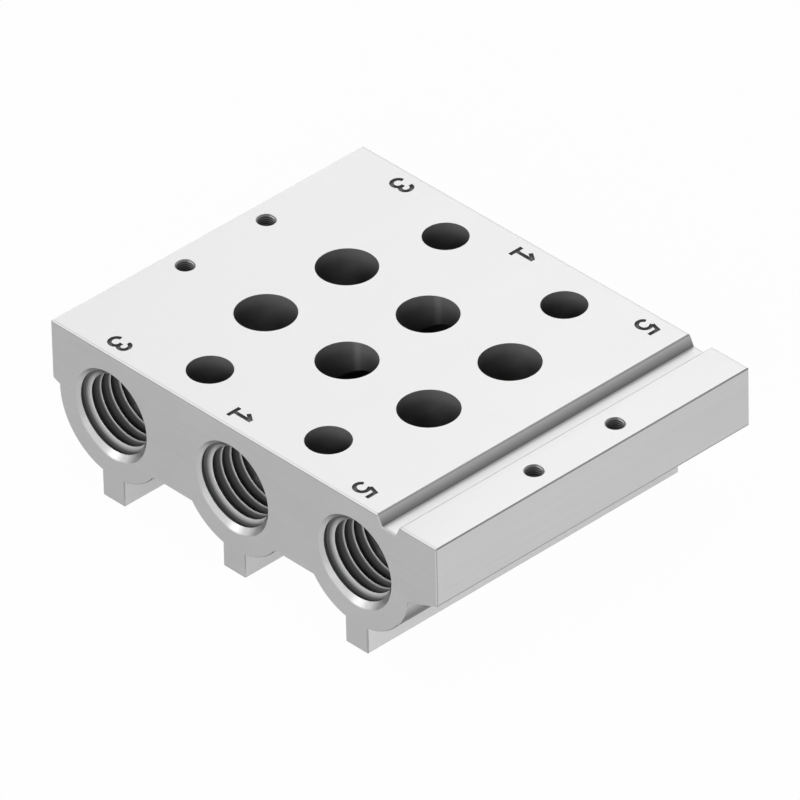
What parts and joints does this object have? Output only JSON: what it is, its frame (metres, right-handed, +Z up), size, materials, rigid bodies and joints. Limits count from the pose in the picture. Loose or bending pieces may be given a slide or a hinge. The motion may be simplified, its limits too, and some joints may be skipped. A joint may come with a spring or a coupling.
{
  "type": "valve manifold base",
  "caption": "Flat aluminium base for pneumatic valves mounted side by side, with supply and exhaust channels tapped at both ends, valve ports on top and feet below.",
  "frame": {"origin": "middle of the box, at the underside of the two outer feet, where the block rests", "axes": "+X across the section towards the grooved flange side, +Y along the extrusion and its channels, +Z up out of the valve face"},
  "size_m": [0.104, 0.081, 0.0337],
  "materials": {
    "aluminium": "satin, fine machined"
  },
  "bodies": {
    "root": {"manifold_block": "aluminium"}
  },
  "joints": []
}
